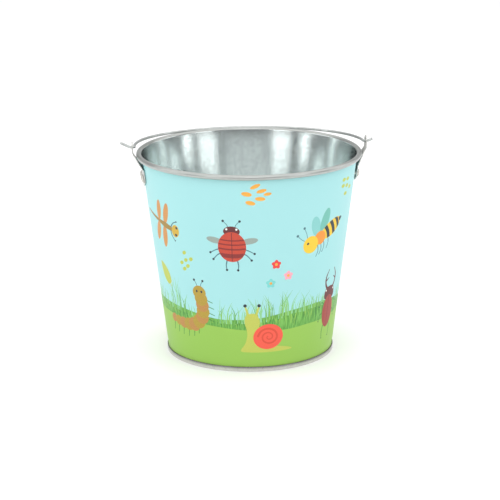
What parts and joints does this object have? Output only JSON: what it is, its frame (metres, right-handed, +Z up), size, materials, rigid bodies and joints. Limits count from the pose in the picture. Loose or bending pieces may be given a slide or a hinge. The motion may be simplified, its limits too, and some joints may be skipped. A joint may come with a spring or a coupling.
{
  "type": "sand bucket",
  "caption": "Small tinplate sand bucket with a tapered printed wall, rolled rim, seamed base and a wire bail that swings between two riveted ears.",
  "frame": {"origin": "on the bucket's axis, at the surface it stands on", "axes": "+Z up along the bucket's axis, +X through the ears towards the side with the lock seam, +Y towards the side where the bail lies at rest"},
  "size_m": [0.186, 0.1672, 0.1588],
  "materials": {
    "printed_tinplate": "satin printed sheet, bare tin inside",
    "rim_wire_steel": "plain drawn wire",
    "base_tinplate": "bright tin plate, lightly scuffed",
    "ear_steel": "stamped and zinc plated",
    "rivet_steel": "zinc plated",
    "bail_wire_steel": "galvanised drawn wire"
  },
  "bodies": {
    "bucket": {"body_wall": "printed_tinplate", "rim_wire": "rim_wire_steel", "base_disc": "base_tinplate", "ear_right": "ear_steel", "ear_left": "ear_steel", "rivet_right_front": "rivet_steel", "rivet_right_back": "rivet_steel", "rivet_left_front": "rivet_steel", "rivet_left_back": "rivet_steel"},
    "bail": {"bail": "bail_wire_steel"}
  },
  "joints": [
    {"name": "bail_hinge", "type": "hinge", "parent": "bucket", "child": "bail", "pos_m": [0, 0, 0.1546], "axis": [1, 0, 0], "range_deg": [0, 187]}
  ]
}
